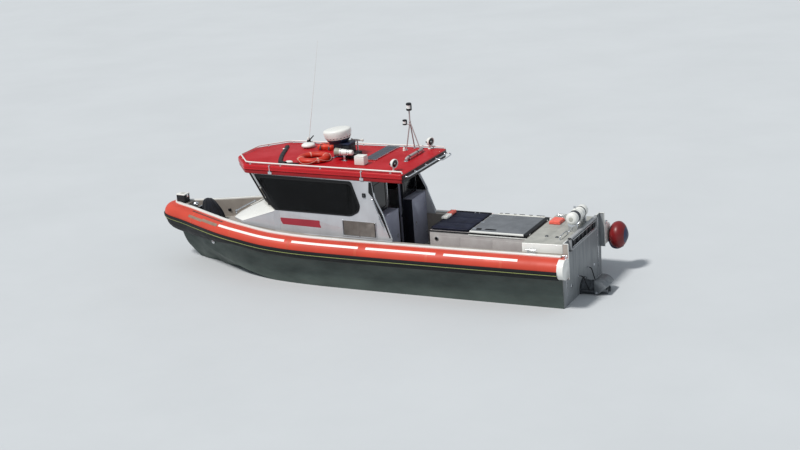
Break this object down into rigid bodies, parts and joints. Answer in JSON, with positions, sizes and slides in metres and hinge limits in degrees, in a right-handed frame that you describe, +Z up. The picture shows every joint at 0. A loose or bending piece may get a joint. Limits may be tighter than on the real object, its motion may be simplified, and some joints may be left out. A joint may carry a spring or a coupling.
{
  "type": "inshore rescue boat with a wheelhouse",
  "caption": "Aluminium rescue boat with an orange buoyant collar, red-roofed wheelhouse, engine hatch, sliding door, helm and a steerable waterjet with a reversing bucket.",
  "frame": {"origin": "on the centreline at the waterplane, amidships", "axes": "+X to the bow, +Y to port, +Z up"},
  "size_m": [10.8991, 3.2525, 5.5178],
  "materials": {
    "hull_aluminium": "dull painted marine aluminium",
    "cabin_aluminium": "brushed marine aluminium",
    "collar_orange": "heavy coated fabric, matt",
    "black_rubber": "matt black rubber",
    "white_paint": "gloss white paint",
    "grey_deck": "light grey non-skid paint",
    "red_paint": "gloss red paint",
    "tinted_glass": "dark tinted glass",
    "bright_metal": "polished stainless steel tube",
    "black_canvas": "black acrylic canvas",
    "navy_vinyl": "navy vinyl",
    "navy_plastic": "dark blue moulded plastic",
    "white_plastic": "white moulded plastic",
    "grey_plastic": "light grey moulded plastic",
    "black_plastic": "black moulded plastic",
    "orange_fabric": "orange coated fabric",
    "red_vinyl": "red inflated vinyl",
    "dark_panel": "dark solar panel",
    "engine_grey": "grey engine paint",
    "jet_metal": "dark cast aluminium"
  },
  "bodies": {
    "boat": {"hull": "hull_aluminium", "topside_port": "hull_aluminium", "topside_starboard": "hull_aluminium", "collar": "collar_orange", "rubbing_strake": "black_rubber", "gunwale_cap_port": "white_paint", "gunwale_cap_starboard": "white_paint", "foredeck_hood": "white_paint", "foredeck_rail": "bright_metal", "bow_box": "black_plastic", "bow_bollard": "bright_metal", "winch_cover": "black_canvas", "cabin_side_port": "cabin_aluminium", "cabin_side_starboard": "cabin_aluminium", "side_glass_port": "tinted_glass", "side_glass_starboard": "tinted_glass", "side_vent_port": "cabin_aluminium", "side_vent_starboard": "cabin_aluminium", "windscreen_frame": "cabin_aluminium", "windscreen_port": "tinted_glass", "windscreen_centre": "tinted_glass", "windscreen_starboard": "tinted_glass", "bulkhead": "cabin_aluminium", "bulkhead_glass_port": "tinted_glass", "bulkhead_glass_starboard": "tinted_glass", "wing_locker_port": "cabin_aluminium", "wing_locker_starboard": "cabin_aluminium", "helm_console": "black_plastic", "seat_port": "black_plastic", "seat_starboard": "black_plastic", "roof": "red_paint", "roof_rail": "bright_metal", "aft_grab_rail": "black_rubber", "radar_pedestal": "navy_plastic", "radome": "white_plastic", "hailer": "grey_plastic", "antenna_post": "white_plastic", "roof_box": "white_plastic", "roof_panel": "dark_panel", "floodlight_port": "white_plastic", "floodlight_starboard": "white_plastic", "mast": "bright_metal", "lifebuoy": "orange_fabric", "rescue_bag": "orange_fabric", "satnav_dome": "white_plastic", "antenna_base": "black_plastic", "engine_box": "grey_deck", "engine_block": "engine_grey", "deck_cushion": "navy_vinyl", "stern_deck": "grey_deck", "transom_frame": "grey_deck", "liferaft": "white_plastic", "stern_buoy": "red_vinyl", "jet_pipe": "jet_metal"},
    "cabin_door": {"cabin_door": "cabin_aluminium"},
    "engine_hatch": {"engine_hatch": "grey_deck"},
    "helm_wheel": {"steering_wheel": "black_plastic"},
    "whip": {"whip_antenna": "grey_plastic"},
    "nozzle": {"jet_nozzle": "jet_metal"},
    "bucket": {"reversing_bucket": "jet_metal"}
  },
  "joints": [
    {"name": "door_slide", "type": "slide", "parent": "boat", "child": "cabin_door", "axis": [0, 1, 0], "range_m": [0, 0.655]},
    {"name": "hatch_hinge", "type": "hinge", "parent": "boat", "child": "engine_hatch", "pos_m": [-2.82, 0, 1.33], "axis": [0, 1, 0], "range_deg": [0, 75]},
    {"name": "helm_turn", "type": "hinge", "parent": "boat", "child": "helm_wheel", "pos_m": [1.078, -0.45, 1.33], "axis": [-0.9397, 0, 0.342], "range_deg": [-360, 360]},
    {"name": "whip_fold", "type": "hinge", "parent": "boat", "child": "whip", "pos_m": [1.75, -0.9, 2.6624], "axis": [0, -1, 0], "range_deg": [-15, 60]},
    {"name": "nozzle_steer", "type": "hinge", "parent": "boat", "child": "nozzle", "pos_m": [-5.41, 0, 0.06], "axis": [0, 0, 1], "range_deg": [-25, 25]},
    {"name": "bucket_pivot", "type": "hinge", "parent": "boat", "child": "bucket", "pos_m": [-5.42, 0, 0.06], "axis": [0, -1, 0], "range_deg": [0, 75]}
  ],
  "couplings": [
    {"joint": "nozzle_steer", "follows": "helm_turn", "ratio": 0.069444}
  ]
}
